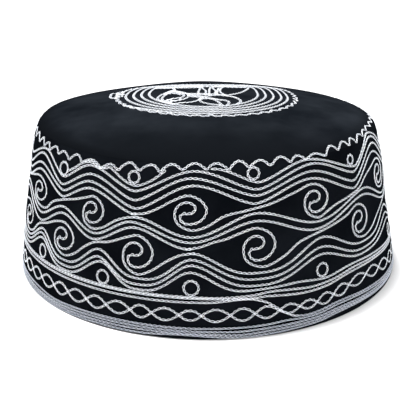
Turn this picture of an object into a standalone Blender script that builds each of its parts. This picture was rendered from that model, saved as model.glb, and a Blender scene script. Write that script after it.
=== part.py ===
# Kufi: a round cap with a tall stiff side band and a low domed crown

# Metres, +Z up, front towards -Y. The origin is the centre of the rim circle,
# on the plane that the rim rests on. Azimuths are in degrees: 0 is the front,
# 90 the right side (+X) and 180 the back.

import math
from collections import namedtuple

import bpy

MM = 0.001

# Whole cap
RIM_RADIUS = 93.0 * MM  # outside of the rim, 584 mm around
WALL_HEIGHT = 68.1 * MM  # rim to crown seam
CROWN_RISE = 11.7 * MM  # crown seam to the top of the dome
CROWN_FULLNESS = 1.7  # 2 is an ellipse, less is a softer shoulder
FACETS_AROUND = 72

# Cloth
BAND_THICKNESS = 2.0 * MM  # two layers of cotton with a stiff layer between
CROWN_THICKNESS = 1.2 * MM
SEAM_GAP = 0.3 * MM
ALLOWANCE_DEPTH = 6.0 * MM  # crown cloth turned down inside the band

# Lean of the wall: how far it has drawn in from the rim at each height
WallLevel = namedtuple("WallLevel", "height inset")
WALL_LEVELS = (
    WallLevel(height=0.0 * MM, inset=0.0 * MM),
    WallLevel(height=20.4 * MM, inset=2.9 * MM),
    WallLevel(height=40.9 * MM, inset=6.7 * MM),
    WallLevel(height=57.9 * MM, inset=11.1 * MM),
    WallLevel(height=68.1 * MM, inset=13.7 * MM),
)

WALL_SLANT = math.hypot(WALL_HEIGHT, WALL_LEVELS[-1].inset) / WALL_HEIGHT

# Soft unevenness of the handled cloth: where its middle is, how far it spreads
# around and up the cap, and how far it pushes the cloth out (or in, if minus)
SoftSpot = namedtuple("SoftSpot", "name azimuth up around_deg along push")
SOFT_SPOTS = (
    SoftSpot("left_bulge", -80, 61 * MM, 34, 13 * MM, 1.6 * MM),
    SoftSpot("right_hollow", 79, 32 * MM, 30, 18 * MM, -1.5 * MM),
    SoftSpot("back_left_swell", -101, 72 * MM, 14, 8 * MM, 1.0 * MM),
    SoftSpot("back_left_sag", -145, 86 * MM, 24, 16 * MM, -2.0 * MM),
    SoftSpot("back_right_sag", 143, 84 * MM, 34, 16 * MM, -2.5 * MM),
    SoftSpot("right_shoulder_sag", 104, 75 * MM, 22, 9 * MM, -0.9 * MM),
    SoftSpot("front_left_dip", -43, 84 * MM, 11, 8 * MM, -0.8 * MM),
    SoftSpot("front_right_dip", 35, 86 * MM, 8, 9 * MM, -1.0 * MM),
    SoftSpot("front_right_ridge", 20, 86 * MM, 6, 10 * MM, 0.5 * MM),
    SoftSpot("back_sag", 180, 111 * MM, 55, 17 * MM, -2.4 * MM),
)
CALM_RIM = 8.0 * MM  # the rim stays a true circle below this height

# Heights and turns at which the sections have a corner
WALL_SHARES = (1.0, 0.93, 0.84, 0.74, 0.62, 0.49, 0.36, 0.23, 0.11, 0.0)
DOME_TURNS = (90, 78, 66, 54, 42, 31, 21, 13, 7, 3, 0)  # degrees, top to seam
ALLOWANCE_SHARES = (0.0, 0.5, 1.0)  # top to bottom of the turned-down cloth
MERGE_DISTANCE = 0.01 * MM
SHARP_ANGLE = math.radians(50)

# Colours, as linear light
BAND_BLACK = (0.012, 0.014, 0.018)
CROWN_BLACK = (0.017, 0.020, 0.025)
CLOTH_ROUGHNESS = 0.9


def blend_between(levels, height):
    """Inset at a height: a smooth curve through the levels."""
    slopes = []
    for i in range(len(levels)):
        low, high = levels[max(i - 1, 0)], levels[min(i + 1, len(levels) - 1)]
        slopes.append((high.inset - low.inset) / (high.height - low.height))
    for i in range(len(levels) - 1):
        low, high = levels[i], levels[i + 1]
        if height <= high.height or high is levels[-1]:
            span = high.height - low.height
            t = (height - low.height) / span
            ease = t * t * (3 - 2 * t)
            bend = span * t * (1 - t) * (slopes[i] * (1 - t) - slopes[i + 1] * t)
            return low.inset + (high.inset - low.inset) * ease + bend


def wall_radius(height):
    return RIM_RADIUS - blend_between(WALL_LEVELS, height)


def dome_point(turn_deg, radius, rise, foot):
    """Point of a dome's section: turn 0 is its edge and 90 its top."""
    turn = math.radians(turn_deg)
    power = 2 / CROWN_FULLNESS
    across = max(math.cos(turn), 0.0) ** power if turn_deg < 90 else 0.0
    return radius * across, foot + rise * math.sin(turn) ** power


def band_section():
    """Closed outline of the band: down the outside, then up the inside."""
    heights = [share * WALL_HEIGHT for share in WALL_SHARES]
    outside = [(wall_radius(z), z) for z in heights]
    inside = [(r - BAND_THICKNESS, z) for r, z in reversed(outside)]
    return outside + inside


def crown_section():
    """Outline of the crown from the top, over the shoulder, in at the seam,
    down inside the band and back up under the dome to the middle."""
    foot = WALL_HEIGHT + SEAM_GAP
    edge = wall_radius(WALL_HEIGHT)
    outside = [dome_point(turn, edge, CROWN_RISE - SEAM_GAP, foot) for turn in DOME_TURNS]

    tuck = BAND_THICKNESS + SEAM_GAP
    turned_in = [(edge - tuck, foot)]
    for share in ALLOWANCE_SHARES:
        z = WALL_HEIGHT - share * ALLOWANCE_DEPTH
        turned_in.append((wall_radius(z) - tuck, z))
    back_up = [(r - CROWN_THICKNESS, z) for r, z in reversed(turned_in[1:])]

    inner_edge = edge - tuck - CROWN_THICKNESS
    inner_rise = CROWN_RISE - SEAM_GAP - CROWN_THICKNESS
    under = [dome_point(turn, inner_edge, inner_rise, foot) for turn in reversed(DOME_TURNS)]
    return outside + turned_in + back_up + under


def turned(name, section, closed):
    """Mesh object: the section, in the XZ plane, turned once about Z."""
    last = len(section)
    edges = [(i, i + 1) for i in range(last - 1)]
    if closed:
        edges.append((last - 1, 0))
    outline = bpy.data.meshes.new(name + "_section")
    outline.from_pydata([(r, 0.0, z) for r, z in section], edges, [])
    turning = bpy.data.objects.new(name, outline)
    bpy.context.scene.collection.objects.link(turning)

    screw = turning.modifiers.new("turn", "SCREW")
    screw.steps = FACETS_AROUND
    screw.render_steps = FACETS_AROUND
    screw.use_merge_vertices = True
    screw.merge_threshold = MERGE_DISTANCE

    shape = turning.evaluated_get(bpy.context.evaluated_depsgraph_get())
    mesh = bpy.data.meshes.new_from_object(shape)
    mesh.name = name
    bpy.data.objects.remove(turning)
    bpy.data.meshes.remove(outline)
    return bpy.data.objects.new(name, mesh)


def distance_up(radius, height, dome_rows):
    """Distance up the cloth from the rim to a point of either piece."""
    if height <= WALL_HEIGHT:
        return height * WALL_SLANT
    for (r_low, up_low), (r_high, up_high) in zip(dome_rows, dome_rows[1:]):
        if radius >= r_high:
            share = (r_low - radius) / (r_low - r_high)
            return up_low + (up_high - up_low) * min(max(share, 0.0), 1.0)
    return dome_rows[-1][1]


def dome_distances():
    """Radius and distance up the cloth, from the seam to the top."""
    rows = []
    up = WALL_HEIGHT * WALL_SLANT
    last = None
    for turn in reversed(DOME_TURNS):
        point = dome_point(turn, wall_radius(WALL_HEIGHT), CROWN_RISE, WALL_HEIGHT)
        if last:
            up += math.dist(point, last)
        rows.append((point[0], up))
        last = point
    return rows


def soft_push(azimuth, up):
    """Sum of the soft spots at a place on the cloth, fading out at the rim."""
    push = 0.0
    for spot in SOFT_SPOTS:
        turn = (azimuth - spot.azimuth + 180) % 360 - 180
        push += spot.push * math.exp(-((turn / spot.around_deg) ** 2) - ((up - spot.up) / spot.along) ** 2)
    calm = min(up / CALM_RIM, 1.0)
    return push * calm * calm * (3 - 2 * calm)


def soften(piece):
    """Move each corner of a turned piece out or in by the soft spots."""
    rows = dome_distances()
    for corner in piece.data.vertices:
        x, y, z = corner.co
        radius = math.hypot(x, y)
        azimuth = math.degrees(math.atan2(x, -y))
        push = soft_push(azimuth, distance_up(radius, z, rows))
        rise = min(max((z - WALL_HEIGHT) / CROWN_RISE, 0.0), 1.0)
        lift = math.radians(90 * rise)
        if radius > 0:
            outward = push * math.cos(lift) / radius
            corner.co.x += x * outward
            corner.co.y += y * outward
        corner.co.z += push * math.sin(lift)


def cloth(name, colour):
    material = bpy.data.materials.new(name)
    material.use_nodes = True
    shader = material.node_tree.nodes["Principled BSDF"]
    shader.inputs["Base Color"].default_value = (*colour, 1.0)
    shader.inputs["Roughness"].default_value = CLOTH_ROUGHNESS
    shader.inputs["Metallic"].default_value = 0.0
    return material


def finish(piece, material, collection):
    soften(piece)
    piece.data.shade_smooth()
    piece.data.set_sharp_from_angle(angle=SHARP_ANGLE)
    piece.data.materials.append(material)
    collection.objects.link(piece)


def make_side_band(collection):
    band = turned("side_band", band_section(), closed=True)
    finish(band, cloth("band_cloth", BAND_BLACK), collection)


def make_crown_panel(collection):
    crown = turned("crown_panel", crown_section(), closed=False)
    finish(crown, cloth("crown_cloth", CROWN_BLACK), collection)


def main():
    for thing in list(bpy.data.objects):
        bpy.data.objects.remove(thing)
    kufi = bpy.data.collections.new("kufi")
    bpy.context.scene.collection.children.link(kufi)
    make_side_band(kufi)
    make_crown_panel(kufi)


main()
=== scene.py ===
# Kufi: a round black cloth cap with silver-white chain-stitch embroidery.
# Metres, +Z up, front towards -Y. The embroidery is charted as azimuth in degrees
# (0 is the front, + is right) and millimetres up the cloth from the rim.
import math

import bmesh
import bpy
import numpy as np
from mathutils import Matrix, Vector
from mathutils.bvhtree import BVHTree


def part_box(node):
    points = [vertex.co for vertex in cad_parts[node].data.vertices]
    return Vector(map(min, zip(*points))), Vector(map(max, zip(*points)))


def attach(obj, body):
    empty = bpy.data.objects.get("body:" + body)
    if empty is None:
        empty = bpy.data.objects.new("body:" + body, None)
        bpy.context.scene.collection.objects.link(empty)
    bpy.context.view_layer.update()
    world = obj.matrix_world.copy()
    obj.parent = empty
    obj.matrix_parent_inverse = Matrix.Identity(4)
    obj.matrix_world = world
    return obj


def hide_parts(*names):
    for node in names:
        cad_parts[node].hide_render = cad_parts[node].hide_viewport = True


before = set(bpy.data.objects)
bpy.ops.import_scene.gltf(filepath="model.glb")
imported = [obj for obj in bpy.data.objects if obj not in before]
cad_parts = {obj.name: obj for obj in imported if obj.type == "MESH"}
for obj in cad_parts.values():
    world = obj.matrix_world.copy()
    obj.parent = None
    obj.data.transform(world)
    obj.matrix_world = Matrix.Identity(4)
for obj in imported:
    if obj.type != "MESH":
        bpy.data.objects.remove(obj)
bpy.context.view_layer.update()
print("frame loaded")

mm = 0.001
scene = bpy.context.scene


# Nodes written as expressions

class Wire:  # a node's output that Python's operators work on
    def __init__(self, board, socket):
        self.board = board
        self.socket = socket

    def __add__(self, other):
        return self.board.math("ADD", self, other)

    def __radd__(self, other):
        return self.board.math("ADD", other, self)

    def __sub__(self, other):
        return self.board.math("SUBTRACT", self, other)

    def __rsub__(self, other):
        return self.board.math("SUBTRACT", other, self)

    def __mul__(self, other):
        return self.board.math("MULTIPLY", self, other)

    def sin(self):
        return self.board.math("SINE", self)

    def cos(self):
        return self.board.math("COSINE", self)


class Board:  # the node tree of a material or of a modifier
    def __init__(self, tree):
        self.tree = tree

    def add(self, kind, settings, inputs, output=0):
        node = self.tree.nodes.new(kind)
        for key, value in settings.items():
            setattr(node, key, value)
        for key, value in inputs.items():
            if isinstance(value, Wire):
                self.tree.links.new(value.socket, node.inputs[key])
            else:
                node.inputs[key].default_value = value
        return Wire(self, node.outputs[output])

    def math(self, operation, *values):
        return self.add("ShaderNodeMath", {"operation": operation}, dict(enumerate(values)))

    def ease(self, value, start, end):
        smooth = {"interpolation_type": "SMOOTHSTEP"}
        return self.add("ShaderNodeMapRange", smooth, {0: value, 1: start, 2: end})

    def mixColours(self, share, first, second):
        return self.add("ShaderNodeMix", {"data_type": "RGBA"}, {0: share, 6: first, 7: second}, 2)


# The cap's outer surface, read from the frame

skin = {
    "columns": 72,  # the solids have a corner at each of these azimuths
    "nudge": 0.01,  # degrees past a corner, so that no ray runs along an edge
    "wallRows": 40,
    "crownRows": 60,
    "step": 1.0 * mm,  # grid spacing up the cloth
    "soften": 2.0,  # grid steps over which the solids' facets are smoothed away
    "softenReach": 6,
    "margin": 8,  # grid rows kept beyond the rim and beyond the crown's centre
    "lastRows": 4,  # of these, the ones that are left unsmoothed
    "edge": 0.05 * mm,  # how far inside a solid's edge its end rows are read
    "reach": 0.3,  # how far out the rays start
    "fanDepth": 60 * mm,  # centre of the crown's fan of rays, below the seam
    "fanFoot": 0.6 * mm,  # its lowest ray meets the crown this far above the seam
    "fanTop": 89.9,  # its steepest ray, in degrees
    "poleGap": 1.0 * mm,  # last ring of a mesh to the crown's centre
}


def solidTree(node):
    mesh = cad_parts[node].data
    return BVHTree.FromPolygons([v.co for v in mesh.vertices], [p.vertices for p in mesh.polygons])


bandTree = solidTree("side_band")
crownTree = solidTree("crown_panel")
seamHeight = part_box("side_band")[1].z


def outward(azimuth):
    turn = math.radians(azimuth)
    return Vector((math.sin(turn), -math.cos(turn), 0.0))


def readColumn(azimuth):  # radius and height of the outside, from the rim to the crown's centre
    out = outward(azimuth)
    points = []
    for z in np.linspace(0, seamHeight, skin["wallRows"]):
        level = min(max(z, skin["edge"]), seamHeight - skin["edge"])
        hit = bandTree.ray_cast(out * skin["reach"] + Vector((0, 0, level)), -out)[0]
        points.append((hit.xy.length, z))
    fan = Vector((0, 0, seamHeight - skin["fanDepth"]))
    lowest = math.atan2(skin["fanDepth"] + skin["fanFoot"], points[-1][0])
    for lift in np.linspace(lowest, math.radians(skin["fanTop"]), skin["crownRows"]):
        along = out * math.cos(lift) + Vector((0, 0, math.sin(lift)))
        hit = crownTree.ray_cast(fan + along * skin["reach"], -along)[0]
        points.append((hit.xy.length, hit.z))
    points.append((0.0, points[-1][1]))
    return np.array(points)


def readSkin():  # radius and height on a regular grid of azimuth and distance up the cloth
    columns = [readColumn(i * 360 / skin["columns"] + skin["nudge"]) for i in range(skin["columns"])]
    arcs = [np.append(0, np.cumsum(np.hypot(*np.diff(c, axis=0).T))) for c in columns]
    total = float(np.mean([arc[-1] for arc in arcs]))
    count = round(total / skin["step"]) + 1
    ups = np.linspace(0, total, count)
    grid = np.array([
        [np.interp(ups, arc * total / arc[-1], c[:, k]) for k in (0, 1)] for arc, c in zip(arcs, columns)
    ]).transpose(0, 2, 1)
    margin = skin["margin"]
    below = 2 * grid[:, :1] - grid[:, margin:0:-1]
    beyond = np.roll(grid, skin["columns"] // 2, axis=0)[:, -2:-2 - margin:-1] * (-1, 1)
    padded = np.concatenate([below, grid, beyond], axis=1)
    span, last = skin["softenReach"], skin["lastRows"]
    offsets = np.arange(-span, span + 1)
    kernel = np.exp(-0.5 * (offsets / skin["soften"]) ** 2)
    kernel /= kernel.sum()
    longer = np.pad(padded, ((0, 0), (span, span), (0, 0)), mode="edge")
    smooth = sum(w * longer[:, span + k:span + k + padded.shape[1]] for k, w in zip(offsets, kernel))
    smooth[:, :margin] = padded[:, :margin]
    smooth[:, -last:] = padded[:, -last:]
    return smooth, total, total / (count - 1)


def wallLength(azimuth):  # up the cloth, from the rim to the seam
    rows = readColumn(azimuth)[:skin["wallRows"]]
    return np.hypot(*np.diff(rows, axis=0).T).sum()


skinGrid, skinLength, skinStep = readSkin()
seamUp = float(np.mean([wallLength(corner + skin["nudge"]) for corner in (20, 110, 200, 290)]))
meanRadius = skinGrid[:, skin["margin"]:-skin["margin"], 0].mean(axis=0)
meanUps = np.arange(len(meanRadius)) * skinStep
print("skin read: %.1f mm up to the seam, %.1f mm to the crown's centre" % (seamUp / mm, skinLength / mm))


def cubicWeights(t):
    return np.array([
        ((2 - t) * t - 1) * t / 2,
        ((3 * t - 5) * t * t + 2) / 2,
        ((4 - 3 * t) * t + 1) * t / 2,
        (t - 1) * t * t / 2,
    ])


def skinPoint(azimuth, up):  # metres, for azimuths in degrees and distances up the cloth in metres
    azimuth, up = np.broadcast_arrays(np.asarray(azimuth, float), np.asarray(up, float))
    column = azimuth / 360 * skin["columns"]
    row = up / skinStep + skin["margin"]
    row = np.clip(row, 1, skinGrid.shape[1] - 3.001)  # so that all four rows are in the grid
    i, j = np.floor(column).astype(int), np.floor(row).astype(int)
    across, along = cubicWeights(column - i), cubicWeights(row - j)
    found = 0.0
    for m in range(4):
        for n in range(4):
            weight = across[m] * along[n]
            found = found + weight[..., None] * skinGrid[(i + m - 1) % skin["columns"], j + n - 1]
    turn = np.radians(azimuth)
    return np.stack([found[..., 0] * np.sin(turn), -found[..., 0] * np.cos(turn), found[..., 1]], -1)


def planToChart(points):  # crown places seen from above, in mm, as azimuth and mm up the cloth
    plan = np.asarray(points, float)
    azimuth = np.degrees(np.arctan2(plan[:, 0], -plan[:, 1]))
    up = np.interp(np.hypot(*plan.T) * mm, meanRadius[::-1], meanUps[::-1]) / mm
    return np.stack([azimuth, up], 1)


# Meshes

def ringShell(name, rings, maps):  # quads between rings; a ring of one point is a pole
    corners = [tuple(p) for ring in rings for p in ring]
    starts = np.cumsum([0] + [len(ring) for ring in rings])
    faces, spots = [], []
    around = max(len(ring) for ring in rings)
    for k in range(len(rings) - 1):
        low, high = len(rings[k]) > 1, len(rings[k + 1]) > 1
        for i in range(around):
            j = (i + 1) % around
            face = [starts[k] + i, starts[k] + j] if low else [starts[k]]
            spot = [maps[k][i], maps[k][i + 1]] if low else [maps[k][0]]
            face += [starts[k + 1] + j, starts[k + 1] + i] if high else [starts[k + 1]]
            spot += [maps[k + 1][i + 1], maps[k + 1][i]] if high else [maps[k + 1][0]]
            faces.append(face)
            spots += spot
    mesh = bpy.data.meshes.new(name)
    mesh.from_pydata(corners, [], faces)
    layer = mesh.uv_layers.new(name="weave")
    layer.data.foreach_set("uv", np.array(spots, np.float32).ravel())
    mesh.shade_smooth()
    piece = bpy.data.objects.new(name, mesh)
    scene.collection.objects.link(piece)
    return piece


# Materials

def newMaterial(name, look):
    material = bpy.data.materials.new(name)
    material.use_nodes = True
    shader = material.node_tree.nodes["Principled BSDF"]
    shader.inputs["Specular IOR Level"].default_value = look["specular"]
    return material, Board(material.node_tree)


def finishMaterial(board, look, colour, grain, height):  # the grain sets the roughness
    low, high = look["roughness"]
    raised = {"Height": height, "Strength": look["bump"], "Distance": look["bumpHeight"]}
    wires = {
        "Base Color": colour,
        "Roughness": grain * (high - low) + low,
        "Normal": board.add("ShaderNodeBump", {}, raised),
    }
    for name, wire in wires.items():
        board.tree.links.new(wire.socket, board.tree.nodes["Principled BSDF"].inputs[name])


# Cloth finishes

clothLook = {
    "threadPitch": 0.42 * mm,
    "bump": 0.6,
    "bumpHeight": 0.05 * mm,
    # Soft blotches in the cloth's colour: partly its own uneven tone, partly painted shade of soft folds
    "mottleSize": 0.020,
    "lintScale": 1800.0,
    "lintHeight": 0.5,  # against the weave's
    "roughness": (0.82, 0.95),
    "specular": 0.0,
    "mottle": 3.0,  # how far each goes from the dark tone to the light one
    "lint": 0.3,
    "weave": 0.25,
    "least": 0.2,
    "paintedFrontShade": (0.030, 0.078),  # metres in front of the crown's centre, over which it darkens towards the front: painted shade
    "foot": (0.070, 0.080),  # metres from the crown's centre, over which its edge darkens to the band's tone: painted shade
}


def clothMaterial(name, dark, light, paintedEdgeShade=1.0):  # the last value sets how dark the crown's painted shade gets towards its front and edge
    material, board = newMaterial(name, clothLook)
    place = board.add("ShaderNodeUVMap", {"uv_map": "weave"}, {})
    split = board.add("ShaderNodeSeparateXYZ", {}, {0: place})
    around, along = split, Wire(board, split.socket.node.outputs[1])
    waves = 2 * math.pi / clothLook["threadPitch"]
    weave = (around * waves).sin() * (along * waves).sin() * 0.5 + 0.5
    spot = board.add("ShaderNodeTexCoord", {}, {}, 3)
    size = 1 / clothLook["mottleSize"]
    # soft blotches: the cloth's uneven tone and painted shade of its soft folds
    soft = board.add("ShaderNodeTexNoise", {}, {"Vector": spot, "Scale": size, "Detail": 4.0})
    fine = {"Vector": spot, "Scale": clothLook["lintScale"], "Detail": 2.0}
    lint = board.add("ShaderNodeTexNoise", {}, fine)
    shade = (soft - 0.5) * clothLook["mottle"] + lint * clothLook["lint"]
    shade = shade + weave * clothLook["weave"] + clothLook["least"]
    colour = board.mixColours(shade, (*dark, 1), (*light, 1))
    if paintedEdgeShade < 1:
        # Painted shade: the crown darkens towards its front and towards its edge
        fromCentre = board.math("POWER", around * around + along * along, 0.5)
        forward = board.ease(along, *clothLook["paintedFrontShade"])
        down = board.ease(fromCentre, *clothLook["foot"])
        edge = tuple(paintedEdgeShade * (a + b) / 2 for a, b in zip(dark, light))
        colour = board.mixColours(board.math("MAXIMUM", forward, down), colour, (*edge, 1))
    finishMaterial(board, clothLook, colour, soft, weave + lint * clothLook["lintHeight"])
    return material


# The crown's tones are lighter than the band's: painted sheen of its top, which faces the light
bandBlack = clothMaterial("bandCotton", (0.0023, 0.0029, 0.0040), (0.0049, 0.0061, 0.0080))
crownBlack = clothMaterial("crownCotton", (0.0050, 0.0063, 0.0085), (0.0130, 0.0155, 0.0194), 0.46)


# Side band: one closed wall with a folded rim

bandCloth = {
    "columns": 288,
    "rowStep": 2.0 * mm,
    "foldSteps": 8,  # rows round the rim's fold
    "topRound": 0.15 * mm,
    "topSteps": 4,  # rows round each of the top's two edges
    "weld": 0.001 * mm,
}


def bandStations(thickness):  # distance up the cloth and depth into it, along the closed section
    half = thickness / 2
    rounded, steps = bandCloth["topRound"], bandCloth["topSteps"]
    turns = [k / steps * math.pi / 2 for k in range(steps + 1)]
    rows = np.arange(half, seamUp - rounded, bandCloth["rowStep"])
    stations = [(up, 0.0) for up in rows]
    for turn in turns:
        stations.append((seamUp - rounded + rounded * math.sin(turn), rounded * (1 - math.cos(turn))))
    for turn in turns:
        up = seamUp - rounded + rounded * math.cos(turn)
        stations.append((up, thickness - rounded * (1 - math.sin(turn))))
    stations += [(up, thickness) for up in rows[::-1]]
    for k in range(1, bandCloth["foldSteps"]):
        turn = k / bandCloth["foldSteps"] * math.pi
        stations.append((half - half * math.sin(turn), half + half * math.cos(turn)))
    return stations + stations[:1]


def weldRing(mesh):  # joins the section's last ring to its first, and keeps the map
    work = bmesh.new()
    work.from_mesh(mesh)
    bmesh.ops.remove_doubles(work, verts=work.verts, dist=bandCloth["weld"])
    work.to_mesh(mesh)
    work.free()


def makeBand():
    z = seamHeight / 2
    out = outward(skin["nudge"])
    outside = bandTree.ray_cast(out * skin["reach"] + Vector((0, 0, z)), -out)[0].xy.length
    inside = bandTree.ray_cast(Vector((0, 0, z)), out)[0].xy.length
    thickness = outside - inside
    azimuths = np.arange(bandCloth["columns"]) * 360 / bandCloth["columns"]
    outs = np.array([outward(a) for a in azimuths])
    rings, maps, travelled, last = [], [], 0.0, None
    girth = 2 * math.pi * float(meanRadius[0])
    for up, depth in bandStations(thickness):
        ring = skinPoint(azimuths, up) - outs * depth
        if last is not None:
            travelled += float(np.linalg.norm(ring[0] - last[0]))
        last = ring
        rings.append(ring)
        maps.append([(girth * i / len(ring), travelled) for i in range(len(ring) + 1)])
    piece = ringShell("bandCloth", rings[:-1] + rings[:1], maps)
    piece.data.materials.append(bandBlack)
    weldRing(piece.data)
    return piece, thickness


band, bandThickness = makeBand()
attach(band, "root")
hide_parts("side_band")
print("band made: %.2f mm thick, %d faces" % (bandThickness / mm, len(band.data.polygons)))


# Crown: dome, turned in at the seam, with its seam allowance inside the band

crownCloth = {
    "columns": 288,
    "rowStep": 2.0 * mm,
    "hemRows": 5,
    "seamRound": 0.15 * mm,
    "seamSteps": 5,  # rows round the seam's edge
    "gap": 0.05 * mm,  # between crown and band: the seam is drawn tight
    "ease": 0.3 * mm,  # between the allowance and the band's inside
    "besideAxis": (0.0001, 0.0002),  # where its thickness is measured, off the centre's corner
    "cut": 0.174,  # the disc that it was cut from, metres across
}


def discMap(radius, count):  # a ring of places on flat cloth, round its centre
    turns = np.radians(np.arange(count + 1) * 360 / count)
    return [(radius * math.sin(t), radius * math.cos(t)) for t in turns]


def makeCrown():
    below, above = Vector((*crownCloth["besideAxis"], 0.0)), Vector((*crownCloth["besideAxis"], 0.2))
    underside = crownTree.ray_cast(below, Vector((0, 0, 1)))[0].z
    topside = crownTree.ray_cast(above, Vector((0, 0, -1)))[0].z
    thickness = topside - underside
    azimuths = np.arange(crownCloth["columns"]) * 360 / crownCloth["columns"]
    outs = np.array([outward(a) for a in azimuths])
    seam = seamUp + crownCloth["gap"]
    rounded = crownCloth["seamRound"]
    tuck = bandThickness + crownCloth["ease"]
    hem = seamUp - (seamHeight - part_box("crown_panel")[0].z)
    dome = list(np.arange(seam + rounded, skinLength - skin["poleGap"], crownCloth["rowStep"]))
    edge = float(meanRadius[round(seamUp / skinStep)])
    shrink = (edge - tuck - thickness) / edge

    rings = [np.array([[0.0, 0.0, underside]])]
    for up in dome[::-1]:
        ring = skinPoint(azimuths, up)
        ring[:, :2] *= shrink
        ring[:, 2] -= thickness
        rings.append(ring)
    down = np.linspace(seamUp, hem, crownCloth["hemRows"])
    rings += [skinPoint(azimuths, up) - outs * (tuck + thickness) for up in down]
    upAgain = np.linspace(hem, seamUp, crownCloth["hemRows"])
    rings += [skinPoint(azimuths, up) - outs * tuck for up in upAgain]
    outside = len(rings)
    for k in range(crownCloth["seamSteps"] + 1):
        turn = k / crownCloth["seamSteps"] * math.pi / 2
        up = seam + rounded * (1 - math.cos(turn))
        depth = rounded * (1 - math.sin(turn))
        rings.append(skinPoint(azimuths, up) - outs * depth)
    rings += [skinPoint(azimuths, up) for up in dome[1:]]
    rings.append(np.array([[0.0, 0.0, topside]]))

    # The weave's map is measured along the cloth: from the centre below, and to the centre outside
    travelled = [0.0]
    for last, ring in zip(rings, rings[1:]):
        travelled.append(travelled[-1] + float(np.linalg.norm(ring[0] - last[0])))
    toCentre = [travelled[-1] - along for along in travelled]
    radii = travelled[:outside] + toCentre[outside:]
    maps = [discMap(radius, len(ring)) for radius, ring in zip(radii, rings)]
    piece = ringShell("crownCloth", rings, maps)
    piece.data.materials.append(crownBlack)
    return piece


crown = makeCrown()
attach(crown, "root")
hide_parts("crown_panel")
print("crown made: %d faces" % len(crown.data.polygons))


# Embroidery thread

threadLook = {
    "pale": (0.95, 0.97, 1.0),
    "dull": (0.70, 0.74, 0.81),
    "rimShade": (0.74, 0.76, 0.81),  # the rim rows' thread, against the rest: painted shade, as the lowest rows get less light
    "roughness": (0.26, 0.42),
    "specular": 0.5,
    "fibreScale": 2600.0,
    "bump": 0.35,
    "bumpHeight": 0.05 * mm,
    "byLink": 0.7,  # share of the tone that differs from link to link; the fibres have the rest
}


def threadMaterial(name, tint):
    material, board = newMaterial(name, threadLook)
    tone = board.add("ShaderNodeAttribute", {"attribute_name": "tone"}, {}, 2)
    spot = board.add("ShaderNodeTexCoord", {}, {}, 3)
    fine = {"Vector": spot, "Scale": threadLook["fibreScale"], "Detail": 2.0}
    fibre = board.add("ShaderNodeTexNoise", {}, fine)
    dull, pale = [tuple(a * b for a, b in zip(threadLook[key], tint)) for key in ("dull", "pale")]
    share = tone * threadLook["byLink"] + fibre * (1 - threadLook["byLink"])
    colour = board.mixColours(share, (*dull, 1), (*pale, 1))
    finishMaterial(board, threadLook, colour, fibre, fibre)
    return material


silverThread = threadMaterial("silverThread", (1, 1, 1))
# A darker copy of the silver thread for the rim rows: painted shade
greyThread = threadMaterial("greyThread", threadLook["rimShade"])


# Chain stitch: links of thread along a line, each rising out of the one before

chainStitch = {
    "Pitch": 1.97 * mm,
    "Link length": 2.45 * mm,
    "Link width": 0.97 * mm,
    "Thread": 0.195 * mm,
    "Lean": 0.09,  # radians that each link is turned on the cloth, by the twist of the thread
    "Roll": 0.12,  # radians that it is tipped along the line
    "Unevenness": 0.06,
}
linkShape = {
    "corners": 9,  # along the loop of thread
    "sides": 5,  # round the thread
    "drop": 1.5,  # how late its strands part, towards the head
    "foot": 0.22,  # share of the width that it has at the foot
    "spread": 0.76,  # brings its widest place near the link's width
    "rise": 0.45,  # how much higher its foot lies than its middle, in threads
}


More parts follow.
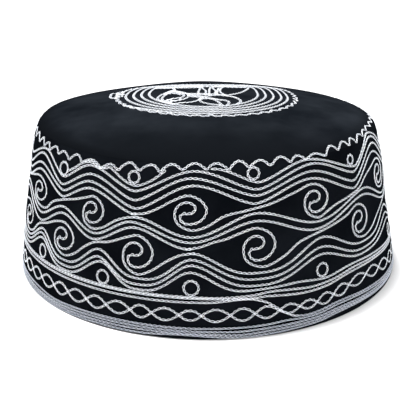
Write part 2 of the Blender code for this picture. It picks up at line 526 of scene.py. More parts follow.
def chainStitchTree():
    tree = bpy.data.node_groups.new("chainStitch", "GeometryNodeTree")
    faces = tree.interface
    faces.new_socket("Line", in_out="INPUT", socket_type="NodeSocketGeometry")
    faces.new_socket("Cloth", in_out="INPUT", socket_type="NodeSocketObject")
    for name in chainStitch:
        faces.new_socket(name, in_out="INPUT", socket_type="NodeSocketFloat")
    faces.new_socket("Seed", in_out="INPUT", socket_type="NodeSocketInt")
    faces.new_socket("Finish", in_out="INPUT", socket_type="NodeSocketMaterial")
    faces.new_socket("Stitches", in_out="OUTPUT", socket_type="NodeSocketGeometry")
    board = Board(tree)
    source = tree.nodes.new("NodeGroupInput")
    given = {socket.name: Wire(board, socket) for socket in source.outputs if socket.name}

    # One link lies along X, its foot raised over the head of the link before
    thread = given["Thread"]
    circle = "GeometryNodeCurvePrimitiveCircle"
    loop = board.add(circle, {}, {"Resolution": linkShape["corners"], "Radius": 1.0})
    turn = board.add("GeometryNodeSplineParameter", {}, {}) * (2 * math.pi)
    foot = turn.cos()
    x = foot * (given["Link length"] - thread) * -0.5
    opening = board.math("POWER", (1 - foot) * 0.5, linkShape["drop"])
    opening = opening * (1 - linkShape["foot"]) + linkShape["foot"]
    y = turn.sin() * opening * (given["Link width"] - thread) * linkShape["spread"]
    z = (foot * linkShape["rise"] + 1.0) * thread
    place = board.add("ShaderNodeCombineXYZ", {}, {0: x, 1: y, 2: z})
    loop = board.add("GeometryNodeSetPosition", {}, {"Geometry": loop, "Position": place})
    section = board.add(circle, {}, {"Resolution": linkShape["sides"], "Radius": thread * 0.5})
    link = board.add("GeometryNodeCurveToMesh", {}, {"Curve": loop, "Profile Curve": section})
    link = board.add("GeometryNodeSetShadeSmooth", {}, {"Geometry": link, "Shade Smooth": True})

    # The line is stepped off at the pitch and laid on the cloth
    stepped = {"Curve": given["Line"], "Length": given["Pitch"]}
    steps = board.add("GeometryNodeResampleCurve", {"mode": "LENGTH"}, stepped)
    cloth = board.add("GeometryNodeObjectInfo", {}, {"Object": given["Cloth"]}, 4)
    where = board.add("GeometryNodeInputPosition", {}, {})
    facing = board.add("GeometryNodeInputNormal", {}, {})
    nearest = {"data_type": "FLOAT_VECTOR"}
    onCloth = board.add("GeometryNodeSampleNearestSurface", nearest, {"Mesh": cloth, "Value": where})
    normal = board.add("GeometryNodeSampleNearestSurface", nearest, {"Mesh": cloth, "Value": facing})
    steps = board.add("GeometryNodeSetPosition", {}, {"Geometry": steps, "Position": onCloth})
    tangent = board.add("GeometryNodeInputTangent", {}, {})
    upright = {"primary_axis": "Z", "secondary_axis": "X"}
    axes = {"Primary Axis": normal, "Secondary Axis": tangent}
    rotation = board.add("FunctionNodeAxesToRotation", upright, axes)
    uneven, seed = given["Unevenness"], given["Seed"]
    number = {"data_type": "FLOAT"}
    slew = board.add("FunctionNodeRandomValue", number, {2: uneven * -1.0, 3: uneven, 8: seed}, 1)
    slew = board.add("ShaderNodeCombineXYZ", {}, {0: given["Roll"], 1: 0.0, 2: slew + given["Lean"]})
    slew = board.add("FunctionNodeEulerToRotation", {}, {"Euler": slew})
    turned = {"Rotation": rotation, "Rotate By": slew}
    rotation = board.add("FunctionNodeRotateRotation", {"rotation_space": "LOCAL"}, turned)
    size = board.add("FunctionNodeRandomValue", number, {2: 1 - uneven, 3: 1 + uneven, 8: seed + 1}, 1)
    laid = {"Points": steps, "Instance": link, "Rotation": rotation, "Scale": size}
    chain = board.add("GeometryNodeInstanceOnPoints", {}, laid)
    tone = board.add("FunctionNodeRandomValue", number, {2: 0.0, 3: 1.0, 8: seed + 2}, 1)
    named = {"data_type": "FLOAT", "domain": "INSTANCE"}
    toned = {"Geometry": chain, "Name": "tone", "Value": tone}
    chain = board.add("GeometryNodeStoreNamedAttribute", named, toned)
    chain = board.add("GeometryNodeRealizeInstances", {}, {"Geometry": chain})
    chain = board.add("GeometryNodeSetMaterial", {}, {"Geometry": chain, "Material": given["Finish"]})
    sink = tree.nodes.new("NodeGroupOutput")
    tree.links.new(chain.socket, sink.inputs[0])
    return tree


stitchTree = chainStitchTree()
shortStitch = {"Pitch": 1.6 * mm, "Link length": 2.0 * mm}  # where a line bends sharply
narrowStitch = {"Link width": 0.86 * mm, "Thread": 0.18 * mm}  # where rows lie close
wideStitch = {"Pitch": 2.1 * mm, "Link length": 2.55 * mm, "Link width": 1.35 * mm, "Thread": 0.25 * mm}


def sewingGround(columns=288, rowStep=1.5 * mm):  # the whole outer surface, for the stitches to lie on
    azimuths = np.arange(columns) * 360 / columns
    ups = np.arange(0.0, skinLength - skin["poleGap"], rowStep)
    rings = [skinPoint(azimuths, up) for up in ups]
    rings.append(skinPoint(np.array([0.0]), skinLength))
    maps = [[(0, 0)] * (len(ring) + 1) for ring in rings]
    return ringShell("sewingGround", rings, maps)


ground = sewingGround()


def sew(name, lines, seed, **changes):  # lines are (points on the chart, closed)
    drawing = bpy.data.curves.new(name + "Line", "CURVE")
    drawing.dimensions = "3D"
    for points, closed in lines:
        chart = np.asarray(points, float)
        places = skinPoint(chart[:, 0], chart[:, 1] * mm)
        spline = drawing.splines.new("POLY")
        spline.points.add(len(places) - 1)
        corners = np.column_stack([places, np.ones(len(places))])
        spline.points.foreach_set("co", corners.astype(np.float32).ravel())
        spline.use_cyclic_u = closed
    line = bpy.data.objects.new(name + "Line", drawing)
    scene.collection.objects.link(line)
    modifier = line.modifiers.new("stitches", "NODES")
    modifier.node_group = stitchTree
    values = dict(chainStitch, Cloth=ground, Seed=seed, Finish=silverThread)
    values.update(changes)
    for item in stitchTree.interface.items_tree:
        if item.name in values:
            modifier[item.identifier] = values[item.name]
    depsgraph = bpy.context.evaluated_depsgraph_get()
    mesh = bpy.data.meshes.new_from_object(
        line.evaluated_get(depsgraph), preserve_all_data_layers=True, depsgraph=depsgraph
    )
    mesh.name = name
    bpy.data.objects.remove(line)
    piece = bpy.data.objects.new(name, mesh)
    scene.collection.objects.link(piece)
    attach(piece, "root")
    triangles = sum(len(p.vertices) - 2 for p in mesh.polygons)
    print("%s sewn: %d triangles" % (name, triangles))


# Lines on the chart

millimetresPerDegree = 1.52  # near enough at any height, for judging distances on the chart


def flowing(knots, spacing=0.6):  # a smooth line through the knots
    scale = np.array([millimetresPerDegree, 1.0])
    p = np.asarray(knots, float) * scale
    p = np.vstack([2 * p[0] - p[1], p, 2 * p[-1] - p[-2]])
    gaps = np.maximum(np.linalg.norm(np.diff(p, axis=0), axis=1), 1e-6)
    found = []
    for i in range(1, len(p) - 2):
        before, here, after = gaps[i - 1], gaps[i], gaps[i + 1]
        step = (p[i + 1] - p[i]) / here
        leave = ((p[i] - p[i - 1]) / before * here + step * before) / (before + here)
        arrive = (step * after + (p[i + 2] - p[i + 1]) / after * here) / (here + after)
        for t in np.arange(0, 1, min(spacing / here, 0.5)):
            found.append(
                (2 * t**3 - 3 * t**2 + 1) * p[i] + (t**3 - 2 * t**2 + t) * here * leave
                + (3 * t**2 - 2 * t**3) * p[i + 1] + (t**3 - t**2) * here * arrive
            )
    found.append(p[-2])
    return np.array(found) / scale


def wave(turns, sharpness=1.0, spacing=0.5):  # smooth rises and falls between turning points
    found = [turns[0]]
    for (a, first), (b, last) in zip(turns, turns[1:]):
        low, high = min(first, last), max(first, last)
        count = max(int(abs(b - a) / spacing), 2)
        for k in range(1, count + 1):
            t = k / count if last > first else 1 - k / count
            found.append((a + (b - a) * k / count, low + (high - low) * (t * t * (3 - 2 * t)) ** sharpness))
    return found


backTurns = 16  # rises and falls round the hidden back, eight repeats


def isPeak(turn, neighbour):
    return turn[1] > neighbour[1]


def behind(front, following, count):  # turning points from the end of one turn to the start of the next one
    start, end = front[-1][0], following[0][0] + 360
    found = []
    for i in range(1, count):
        share = i / count
        first, last = front[-1 - i % 2], following[(count - i) % 2]
        found.append((start + (end - start) * share, first[1] + (last[1] - first[1]) * share))
    return found


def spiral(lines):  # lines that run on, one below the other, round the back
    found = []
    for k, line in enumerate(lines):
        if k:
            before = lines[k - 1]
            count = backTurns - (isPeak(before[-1], before[-2]) != isPeak(line[0], line[1]))
            found += [(a + 360 * (k - 1), up) for a, up in behind(before, line, count)]
        found += [(a + 360 * k, up) for a, up in line]
    return found


# Scrolls: one shape, charted in millimetres from its centre, from its top to its foot

scrollShape = (
    (-0.2, 6.7), (4.3, 5), (6.2, 3.1), (6.9, 0.9), (6.1, -1.2), (4.3, -3), (1.2, -4.2), (-1.8, -4.2),
    (-3.6, -3.1), (-4.1, -1.6), (-3.2, -0.5), (-1, -0.3), (0.9, 0.1), (2.2, 1.6), (1.7, 2.9),
    (0.2, 3.8), (-2.1, 4), (-4.3, 3.1), (-5.9, 1.5), (-6.4, -0.4), (-6.1, -2.7), (-4.9, -4.5),
    (-3, -5.7), (1, -6.75),
)
scrollJoin = ((0.17, -4.2), (0.33, -1), (0.55, 1.5), (0.75, 4))  # share of the way, mm above the centres


def degreesAt(up):  # how many degrees one millimetre around is, at a height in mm
    return math.degrees(mm / float(np.interp(up * mm, meanUps, meanRadius)))


def scroll(azimuth, up, width, height):
    perMm = degreesAt(up)
    return [(azimuth + x * width * perMm, up + y * height) for x, y in scrollShape]


def between(here, there, share):  # a place part of the way from one to the other
    return tuple(a + (b - a) * share for a, b in zip(here[:2], there[:2]))


def joined(here, following):  # knots from one scroll to the next one
    found = []
    for share, above in scrollJoin:
        azimuth, up = between(here, following, share)
        found.append((azimuth, up + above))
    return found


def onceRound(azimuth, up, width, height, ownJoin):  # the same scroll, one turn further on
    return azimuth + 360, up, width, height, [(a + 360, v) for a, v in ownJoin]


def scrollLine(plan):  # its scrolls are azimuth, up, width, height, and their own join to the next one
    front, repeats = plan["front"], plan["backRepeats"]
    around = [onceRound(*each) for each in plan["after"]]
    back = [(*between(front[-1], around[0], i / repeats), 1.0, 1.0, None) for i in range(1, repeats)]
    centres = front + back + around
    knots = list(plan["entry"])
    for here, following in zip(centres, centres[1:] + [None]):
        knots += scroll(*here[:4])
        knots += here[4] or joined(here, following)
    return flowing(knots)


# Upper waves: four lines and the start of a fifth, above the upper scrolls

upperWaves = {
    "lines": [
        [(1.6, 68.1), (13.8, 62.3), (29, 68.75), (48.4, 61.1), (62, 71.4)],
        [(-72, 58.5), (-57.8, 65), (-46, 57.4), (-34.9, 65.1), (-20.4, 58), (-3.4, 67.15),
         (13.4, 59.6), (30.5, 66.8), (47.6, 58.95), (61.8, 69.4)],
        [(-72, 54.5), (-59.2, 62.6), (-46.2, 54.1), (-34.2, 61.7), (-20.2, 54.5), (-4.2, 64.4),
         (13.2, 57.2), (29.9, 63.9), (47, 55.4), (62.2, 66.3)],
        [(-71.5, 51.9), (-59.3, 58.5), (-45.3, 51.8), (-34.6, 58.7), (-19.6, 51.3), (-3.6, 61.6),
         (12.6, 54.2), (29.2, 61.15), (46.6, 52.4), (61.4, 62.75)],
        [(-71, 49), (-58.9, 55.6), (-45.4, 49.2), (-34.2, 56), (-20, 49.1)],
    ],
    "loose": [
        (-44.2, 60.4), (-42, 62), (-40, 64), (-38, 65.6), (-35, 66.3), (-32.3, 65), (-30.5, 65),
        (-28.5, 65.7), (-26.8, 64.4), (-23.8, 61.8), (-19.9, 60.2), (-16.7, 61.8), (-13.7, 64.6),
        (-12.3, 66.3),
    ],
    "sharpness": 0.8,
    "seed": 11,
}
upperLine = wave(spiral(upperWaves["lines"]), upperWaves["sharpness"])
sew("upperWaves", [(upperLine, False), (flowing(upperWaves["loose"]), False)], upperWaves["seed"])


# Upper scrolls: they run on from the lowest upper wave, round the back, into the middle waves

upperScrolls = {
    "entry": [(-20, 49.1), (-17, 49.8), (-13, 52.5), (-9.7, 55.35)],
    "front": [
        (-4.7, 51.1, 0.92, 0.985, [(-1.1, 45.5), (4.2, 49.85), (10.2, 51.75), (17, 53.6), (24.1, 56.7)]),
        (30.85, 51.95, 0.88, 1.005,
         [(33.7, 46.4), (36.9, 48.1), (43.7, 49.85), (50, 51.9), (53.3, 54.6), (58.4, 57.05)]),
        (65, 52, 0.97, 0.98, None),
    ],
    "after": [
        (-58.6, 46.3, 0.97, 0.89,
         [(-53.2, 41), (-49.8, 45.1), (-45.7, 47.5), (-39.3, 50.15), (-35.7, 51.9)]),
        (-32.8, 46.7, 0.76, 0.955, [(-29.5, 41.3), (-25, 45.5), (-21.6, 47.4), (-19.3, 47.9)]),
    ],
    "backRepeats": 8,
    "seed": 12,
}
sew("upperScrolls", [(scrollLine(upperScrolls), False)], upperScrolls["seed"])


# Middle waves: three lines between the two rows of scrolls

middleWaves = {
    "lines": [
        [(-19.3, 47.9), (-4.5, 41.7), (13, 50.4), (30.8, 43.6), (51.2, 50.4), (67.5, 42)],
        [(-56.4, 37.75), (-44.2, 45.1), (-31.9, 38.5), (-20.4, 45.85), (-4.6, 39.65), (12.9, 47.4),
         (29.8, 40.7), (50, 47.9), (67.5, 40)],
        [(-56.3, 34.4), (-43.7, 42.5), (-32.2, 36.05), (-19.5, 43.8), (-5, 37.1)],
    ],
    "seed": 13,
}
sew("middleWaves", [(wave(spiral(middleWaves["lines"])), False)], middleWaves["seed"])


# Lower scrolls: from the lowest middle wave, round the back, into the lower waves

lowerScrolls = {
    "entry": [(-5, 37.1), (-2, 38), (1.2, 39.8), (4.6, 41.1), (8.2, 43.1)],
    "front": [
        (13.1, 36.95, 0.965, 1.14, [(19.6, 32.2), (24.8, 37.1), (28, 38.4), (34.8, 40.3), (41.6, 42.5)]),
        (47.6, 37.8, 0.89, 1.075, [(53, 31.4), (58.8, 35.2), (64.1, 37.9), (71, 40.5)]),
    ],
    "after": [
        (-66.5, 31.4, 0.9, 0.92, [(-61.5, 26.7), (-57, 32), (-51.5, 35), (-47.2, 37.7)]),
        (-43.1, 32, 0.94, 1.015, [(-38.7, 27.1), (-34.2, 32.4), (-31.7, 34.65), (-27, 36.3), (-21, 39.9)]),
        (-18.4, 33.15, 0.93, 1.155, [(-15.2, 26.9), (-10.1, 32.2), (-7.1, 34.5), (-4, 35.4)]),
    ],
    "backRepeats": 8,
    "seed": 14,
}
sew("lowerScrolls", [(scrollLine(lowerScrolls), False)], lowerScrolls["seed"])


# Lower waves: four lines under the lower scrolls; the last one runs into the straight rows

lowerWaves = {
    "lines": [
        [(-4, 35.4), (13, 26.9), (31.7, 36.8), (50, 28.3), (67, 35.65)],
        [(-67, 23.2), (-53.6, 31.3), (-42.2, 23.05), (-29.7, 32.5), (-17.5, 23.7), (-4.2, 32.9),
         (13.2, 24.4), (31.3, 32.9), (49.5, 25.5), (67.6, 31.4)],
        [(-67, 21.3), (-54, 29.2), (-42, 20.8), (-29.7, 29.4), (-17.9, 21.25), (-4.2, 30.6),
         (12.5, 21.8), (31.2, 29.9), (49.3, 23.4), (68.8, 27.8)],
        [(-67, 19.4), (-53.6, 27.2), (-42, 18.9), (-28.8, 27.6), (-17.6, 19.2), (-4.4, 27.8), (10.5, 20)],
    ],
    "sharpness": 1.6,
    "seed": 15,
}
sew("lowerWaves", [(wave(spiral(lowerWaves["lines"]), lowerWaves["sharpness"]), False)], lowerWaves["seed"])


# Straight rows: three turns below the waves, then down across the twist to the rim rows

straightRows = {
    "turns": [
        [(10.5, 20), (17.4, 20.3), (23.2, 20.7), (32.6, 19.7), (39.5, 21.1), (43, 21.3), (51, 20.6),
         (64, 19)],
        [(-66, 17.5), (-50, 17.9), (-8, 18), (8, 17.7), (12.3, 18.1), (15.5, 18.65), (21, 18.3),
         (27.5, 17.5), (34, 18), (42.5, 19.6), (51, 19.1), (64, 17.9)],
        [(-66, 16.9), (-45, 17.4), (0, 17.3), (12, 16.8), (14.5, 17), (18.7, 16.5), (25, 15.8),
         (32, 16.2), (40, 18), (51, 18), (64, 16.8)],
        [(-66, 15.5), (-45, 15.75), (0, 15.75), (12.5, 15.8), (15.1, 14.2), (17.2, 11.9), (18.9, 9.8),
         (20, 8.7), (21.3, 7.55), (22.6, 6.8)],
    ],
    "seed": 16,
}


def turnsInOne(turns):
    return flowing([(a + 360 * k, up) for k, turn in enumerate(turns) for a, up in turn])


sew("straightRows", [(turnsInOne(straightRows["turns"]), False)], straightRows["seed"])


# Rim rows: close turns above the rim, lifted at the right where the plain hem shows below them

rimRows = {
    "turns": [
        [(22.6, 6.8), (25, 6.2), (30, 6.5), (35, 7.5), (40, 7.6), (45, 7.1), (50, 6.7), (60, 5.7),
         (66, 5.5)],
        [(-66, 4.5), (-55, 4.4), (-45, 3.75), (-38, 4.3), (-30, 4.75), (0, 4.95), (15, 5.15), (20, 5.6),
         (25, 5.15), (30, 5.4), (35, 6.35), (40, 6.5), (50, 5.7), (60, 4.7), (66, 4.5), (90, 4.3)],
        [(-66, 3.4), (-45, 2.7), (-38, 3.1), (-30, 3.55), (0, 3.6), (8, 3.3), (15, 3.65), (25, 3.9),
         (30, 4.1), (35, 4.8), (45, 4.6), (55, 4.1), (66, 3.6), (90, 3.4)],
        [(-66, 2.3), (-45, 1.75), (-30, 2.3), (-7, 2.75), (0, 2.5), (8, 1.9), (15, 2.4), (25, 2.75),
         (30, 3), (35, 3.8), (45, 3.7), (55, 3.1), (66, 2.75), (90, 2.5)],
        [(-66, 1.2), (-45, 0.8), (-30, 1.2), (-16, 1.4), (-7, 2.2), (-2, 1.9), (3, 1.3), (8, 0.9),
         (15, 1.2), (25, 1.7), (30, 2), (35, 2.85), (45, 3), (55, 2.4), (66, 2.2), (90, 1.8),
         (150, 1.2)],
    ],
    "seed": 17,
}
rimLine = turnsInOne(rimRows["turns"])
# The rim rows are sewn in the darker copy of the silver thread: painted shade
sew("rimRows", [(rimLine, False)], rimRows["seed"], Finish=greyThread, **narrowStitch)


# Twist chain: two strands that cross between the straight rows and the rim rows

twistChain = {
    "crossings": (
        -65.3, -58.75, -52.45, -45.95, -39.75, -33.0, -26.75, -19.85, -14.2, -7.2, -1.65,
        5.5, 11.7, 18.1, 23.8, 28.9, 34.45, 40.3, 48.2, 56.0, 64.3,
    ),
    "backLenses": 37,
    "middle": [
        (-65, 9.8), (-46, 9.9), (-20, 10.3), (18, 10.4), (29, 10.5), (34.5, 11.5), (40.3, 12.9),
        (48.2, 13.6), (56, 12.3), (64.3, 10.3), (180, 10.5),
    ],
    "halfHeight": [
        (-65, 2.6), (-8, 2.5), (-4.4, 1.95), (-1, 2.5), (14, 2.5), (19, 1.9), (26, 1.7), (31, 2.2),
        (48, 2.25), (56, 2.5), (180, 2.6),
    ],
    "spacing": 0.07,  # share of a lens between two points
    "seed": 18,
}


def aroundAzimuths(front, backCount):
    last, first = front[-1], front[0] + 360
    return list(front) + [last + (first - last) * i / backCount for i in range(1, backCount)] + [first]


def heightAt(knots, azimuth):
    start, first = knots[0]
    places, ups = zip(*knots, (start + 360, first))
    return float(np.interp((azimuth - start) % 360 + start, places, ups))


def twistStrand(side):
    points = []
    crossings = aroundAzimuths(twistChain["crossings"], twistChain["backLenses"])
    for k, (a, b) in enumerate(zip(crossings, crossings[1:])):
        for t in np.arange(0, 1, twistChain["spacing"]):
            azimuth = a + (b - a) * t
            swing = math.sin(math.pi * t) * side * (-1) ** k * heightAt(twistChain["halfHeight"], azimuth)
            points.append((azimuth, heightAt(twistChain["middle"], azimuth) + swing))
    return points


sew("twistChain", [(twistStrand(1), False), (twistStrand(-1), False)], twistChain["seed"])


# Scalloped line: rounded peaks over the upper waves, at the shoulder

scallopLine = {
    "turns": [  # the first is a peak
        (-62.8, 68.4), (-60.6, 65.5), (-57.4, 68), (-56.1, 65.2), (-52.2, 67.9), (-50.3, 65.4),
        (-47.65, 67.4), (-44.6, 65), (-41.2, 67.9), (-39, 65.5), (-35.3, 67.3), (-31.5, 65),
        (-28.3, 67.1), (-26, 65.2), (-22.1, 68.8), (-19.5, 66.15), (-15.6, 68.8), (-13.3, 66.5),
        (-9.9, 69.6), (-7, 67.5), (-3.6, 70.3), (-0.5, 68), (2.3, 70.3), (5.7, 67.85), (8.7, 71.1),
        (11.3, 68.4), (14.8, 70.9), (17.55, 68.2), (21.1, 71.5), (23.7, 68.85), (26.4, 71.1), (29, 68.9),
        (32.4, 70.7), (36.1, 68.8), (39.9, 72.6), (42, 69.75), (46.2, 73), (47.6, 69.9), (51, 73.1),
        (52.2, 70.1), (56.8, 73.2), (58, 71.5), (62, 73.7), (63.5, 72.4), (66.7, 74.1),
    ],
    "backBumps": 37,
    "sharpness": 0.6,
    "spacing": 0.3,  # degrees between two points
    "seed": 19,
}
scallopTurns = scallopLine["turns"]
scallopTurns = scallopTurns + behind(scallopTurns, scallopTurns, 2 * scallopLine["backBumps"])
scallops = wave(scallopTurns, scallopLine["sharpness"], scallopLine["spacing"])
sew("scallopLine", [(scallops, True)], scallopLine["seed"], **shortStitch)


# Small rings: under the scallops at each upper trough, and standing on the straight rows

smallRings = {  # azimuth, up, radius
    "top": [(-46.4, 60.6, 2.65), (-20.7, 63.4, 2.25), (12.5, 65.9, 2.25), (46.7, 64.3, 1.9)],
    "foot": [(-53, 21.6, 2.8), (-28.1, 21.5, 2.7), (-4.2, 21.6, 2.9), (31.1, 23.4, 2.7), (71, 21.6, 2.8)],
    "topRepeats": 9,
    "footRepeats": 8,
    "corners": 20,
    "seed": 20,
}


def ringAt(azimuth, up, radius):
    perMm = degreesAt(up)
    turns = np.linspace(0, 2 * math.pi, smallRings["corners"], endpoint=False)
    return [(azimuth + radius * math.sin(t) * perMm, up + radius * math.cos(t)) for t in turns]


def ringsAround(front, count):  # the front's rings and even ones round the back
    last, first = front[-1], (front[0][0] + 360, *front[0][1:])
    back = [tuple(a + (b - a) * i / count for a, b in zip(last, first)) for i in range(1, count)]
    return [(ringAt(*ring), True) for ring in front + back]


ringLines = ringsAround(smallRings["top"], smallRings["topRepeats"])
ringLines += ringsAround(smallRings["foot"], smallRings["footRepeats"])
sew("smallRings", ringLines, smallRings["seed"], **shortStitch)


# Crown medallion: five rings and a scalloped edge, charted in mm seen from above

medallion = {
    "middle": (-2.1, 1.3),
    "lean": 0.05,  # sideways shift towards the front, for each mm
    "rings": [  # half width, half depth in front and behind, and shape behind: 1 is an oval, 0 is square
        (25.8, 28.2, 33.3, 0.24),
        (29.5, 30.6, 35.1, 0.24),
        (33.2, 33, 36.8, 0.24),
        (36.9, 35.4, 38.2, 0.24),
    ],
    "partRing": (39.9, 37.8, 39.2, 0.28),  # from the edge at the left in front, round the right
    "partTurns": (-60, 170),  # degrees, from the front
    "partDrop": 2.2,  # how far its start lies on the edge's side
    "partPoints": 16,  # points over which it comes back to its own line
    "edge": (41.4, 39.6, 40.2, 0.5),
    "edgeShift": 1.3,  # to the right of the rings' middle
    "edgeBumps": 44,
    "edgeHeight": 1.7,
    "spacing": 1.2,  # degrees between two points
    "seed": 21,
}


def oval(shape, start=0, end=360, bumps=0, height=0.0, shift=0.0):
    halfWidth, frontDepth, backDepth, shapeBehind = shape
    turns = np.radians(np.arange(start, end, medallion["spacing"]))
    swell = 1 + height / halfWidth * np.abs(np.sin(turns * bumps / 2))
    far = np.cos(turns) < 0
    depth = -np.where(far, backDepth, frontDepth) * swell * np.cos(turns)
    across = np.sin(turns)
    across = np.sign(across) * np.abs(across) ** np.where(far, shapeBehind, 1)
    x = medallion["middle"][0] + shift + halfWidth * swell * across - depth.clip(max=0) * medallion["lean"]
    return planToChart(np.stack([x, medallion["middle"][1] + depth], 1))


partRing = oval(medallion["partRing"], *medallion["partTurns"])
partPoints = medallion["partPoints"]
partRing[:partPoints, 1] -= np.linspace(medallion["partDrop"], 0, partPoints)
edgeSwell = {"bumps": medallion["edgeBumps"], "height": medallion["edgeHeight"]}
scallopedEdge = oval(medallion["edge"], shift=medallion["edgeShift"], **edgeSwell)
crownLines = [(oval(ring), True) for ring in medallion["rings"]]
crownLines += [(partRing, False), (scallopedEdge, True)]
sew("crownRings", crownLines, medallion["seed"], **wideStitch)


# Rosette: scrolls, stems and leaves inside the rings, charted in the same way

rosette = {
    "middle": (-2.1, 4),
    "lift": (0.1, -1),  # the threads stand proud, so they are seen a little beyond their place
    "front": [
        [(-17.6, 16), (-16.5, 9), (-18.2, 6), (-20.2, 2), (-22.3, -3), (-23.3, -8), (-22.8, -12),
         (-21, -15.5), (-17, -20)],
        [(-16.5, 4), (-18.5, 1), (-20, -3), (-21, -7), (-21.2, -11), (-20, -15), (-16.5, -19.5)],
        [(-20.2, 0), (-18, 2.6), (-15.4, 2.2), (-13.6, -0.6), (-13.2, -3)],
        [(-20.3, -2.2), (-18.4, -0.2), (-16, -0.4), (-14.2, -2)],
        [(-18.6, 4), (-16.6, 5), (-14.8, 4)],
        [(-16.2, 6.5), (-14.4, 2), (-12.3, -1.5), (-11.4, -5), (-11.6, -8), (-13.5, -10.3), (-16.3, -11),
         (-18, -13)],
        [(-15.5, 5.5), (-12.8, 2), (-10.3, -1.5), (-9.2, -5), (-9.2, -8.5), (-10.6, -11.8), (-13, -14.4),
         (-16.5, -16)],
        [(-12.9, -11.4), (-12.9, -13.8), (-14.6, -15), (-17, -14.2), (-18.3, -12.6), (-19, -14.5),
         (-17.3, -17.5)],
        [(-10.5, -1.9), (-7.5, -2.7), (-4.5, -2.8), (-1, -3.4), (3, -4), (7.5, -5.2)],
        [(-9.2, -4), (-6.5, -5), (-3, -4.8), (0.5, -5)],
        [(-8.8, -6.5), (-6.5, -7.2), (-4.5, -7.6), (-2.4, -8.6), (-1.8, -11)],
        [(-7.4, -8.8), (-5, -9.6), (-3.4, -10.5)],
        [(-4.6, -4), (-4.6, 2), (-4.2, 8), (-4, 14), (-4.2, 20)],
        [(-1.3, -6), (-1.1, 0), (-1.3, 5), (-2.4, 9), (-2.8, 15)],
        [(0.5, -6), (0.5, 0), (0.5, 5), (0.8, 10), (1.2, 16)],
        [(2.9, -4), (3.6, 1), (3.5, 5), (2.6, 9), (2.2, 15)],
        [(4.2, -4), (4.3, 1), (4.7, 6), (5.1, 12)],
        [(7.6, -4.6), (6.2, -1), (5.7, 4), (6, 9), (6.8, 14), (7.8, 20)],
        [(8.5, -5.6), (10.8, -4.2), (13.2, -1.8), (15.5, 1.5), (17.2, 5.5), (18.6, 10), (19.8, 15),
         (20.4, 21)],
    ],
    "loose": [  # two loops at the left, beside the rings
        [(-43.4, -2), (-43.9, 5), (-44.9, 14), (-46.3, 14), (-47, 8), (-46.4, 3), (-44.6, 0), (-42.6, 2)],
        [(-40.8, 2), (-41.4, 9), (-42.4, 15.5), (-43.7, 16), (-44.3, 11.5), (-43.3, 7.5), (-41, 8)],
    ],
    "far": [
        [(-26, 20), (-22, 18), (-18.5, 17), (-14, 18.5), (-9, 19.5), (-5, 19)],
        [(-25, 23.5), (-20, 21), (-14, 22.5), (-8, 23), (-3, 22)],
        [(-24, 27), (-18, 25), (-11, 26.5), (-4, 25.5)],
        [(3, 18.5), (8, 20), (13, 19.5), (18, 21)],
        [(2, 22.5), (8, 24), (14, 23.5), (19, 25.5)],
        [(0, 26), (7, 27.5), (14, 27)],
    ],
    "turned": [  # these have a copy at the far side, turned once about the middle
        [(-3, -10.5), (-4.1, -14), (-5.8, -16.8), (-8.2, -18.4), (-11.5, -19), (-15.2, -20.2)],
        [(-3.9, -15), (-3.3, -17.6), (-1.4, -20), (1.2, -22), (4.2, -22.8)],
        [(-3.6, -13.6), (-0.7, -12.6), (1.5, -13.2), (3, -14.8), (4.2, -17.2), (5.1, -20), (6, -22.8)],
        [(-0.5, -11.4), (2.5, -12.8), (5, -14.4), (7.6, -15.4), (9.2, -17.4), (9.2, -20), (8.4, -23)],
        [(-1, -9), (1.3, -7), (4.5, -5.9), (8, -6.8), (11, -8.3), (13.2, -10.7), (14.6, -14),
         (14.7, -16.7), (12.8, -21)],
    ],
    "seed": 22,
}


def planLine(knots):
    dx, dy = rosette["lift"]
    plan = [((x + dx) / millimetresPerDegree, y + dy) for x, y in knots]  # flowing takes degrees
    return planToChart(flowing(plan) * (millimetresPerDegree, 1)), False


def rosetteLines():
    cx, cy = rosette["middle"]
    copies = [[(2 * cx - x, 2 * cy - y) for x, y in knots] for knots in rosette["turned"]]
    lines = rosette["front"] + rosette["turned"] + copies + rosette["far"] + rosette["loose"]
    return [planLine(knots) for knots in lines]


sew("crownRosette", rosetteLines(), rosette["seed"], **wideStitch)
bpy.data.objects.remove(ground)


# Floor, light and camera

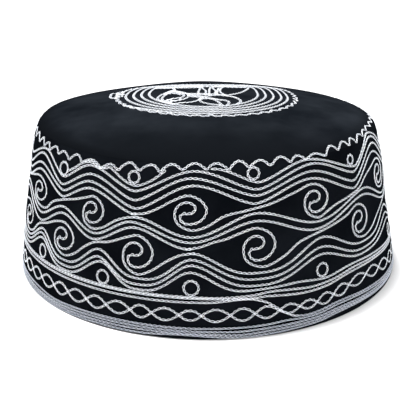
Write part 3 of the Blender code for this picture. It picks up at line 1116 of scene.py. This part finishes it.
studio = {
    "floor": (0.85, 0.85, 0.85),
    "floorReach": 6.0,
    "floorRoughness": 0.9,
    "floorSpecular": 0.1,
    "sky": 0.4,
    "aim": (0, 0, 0.04),  # the lamps point at the cap's middle
    "sunFrom": (-0.24, 0.15, 0.95),
    "sunSpread": 12.0,  # degrees
    "sunPower": 5.2,
    "boxAt": (0.18, -0.34, 0.36),
    "boxSize": 0.22,
    "boxPower": 1.5,
    "cameraAt": (0.0, -0.3395, 0.1495),
    "cameraPitch": 20.77,  # degrees down
    "lens": 62.08,
}


def makeFloor():
    mesh = bpy.data.meshes.new("floor")
    reach = studio["floorReach"]
    corners = [(-reach, -reach, 0), (reach, -reach, 0), (reach, reach, 0), (-reach, reach, 0)]
    mesh.from_pydata(corners, [], [(0, 1, 2, 3)])
    floor = bpy.data.objects.new("floor", mesh)
    scene.collection.objects.link(floor)
    material = bpy.data.materials.new("palePaper")
    material.use_nodes = True
    shader = material.node_tree.nodes["Principled BSDF"]
    shader.inputs["Base Color"].default_value = (*studio["floor"], 1)
    shader.inputs["Roughness"].default_value = studio["floorRoughness"]
    shader.inputs["Specular IOR Level"].default_value = studio["floorSpecular"]
    mesh.materials.append(material)


def placeLamp(lamp, place):
    light = bpy.data.objects.new(lamp.name, lamp)
    light.location = place
    back = light.location - Vector(studio["aim"])
    light.rotation_euler = back.to_track_quat("Z", "Y").to_euler()
    scene.collection.objects.link(light)


def makeLight():
    world = bpy.data.worlds.new("studio")
    world.use_nodes = True
    sky = world.node_tree.nodes["Background"]
    sky.inputs["Color"].default_value = (1, 1, 1, 1)
    sky.inputs["Strength"].default_value = studio["sky"]
    scene.world = world
    lamp = bpy.data.lights.new("sun", "SUN")
    lamp.angle = math.radians(studio["sunSpread"])
    lamp.energy = studio["sunPower"]
    placeLamp(lamp, studio["sunFrom"])
    lamp = bpy.data.lights.new("softbox", "AREA")
    lamp.size = studio["boxSize"]
    lamp.energy = studio["boxPower"]
    placeLamp(lamp, studio["boxAt"])


def makeCamera():
    lens = bpy.data.cameras.new("camera")
    lens.lens = studio["lens"]
    camera = bpy.data.objects.new("camera", lens)
    camera.location = studio["cameraAt"]
    camera.rotation_euler = (math.radians(90 - studio["cameraPitch"]), 0, 0)
    scene.collection.objects.link(camera)
    scene.camera = camera


makeFloor()
makeLight()
makeCamera()
scene.view_settings.view_transform = "Standard"
print("studio set")
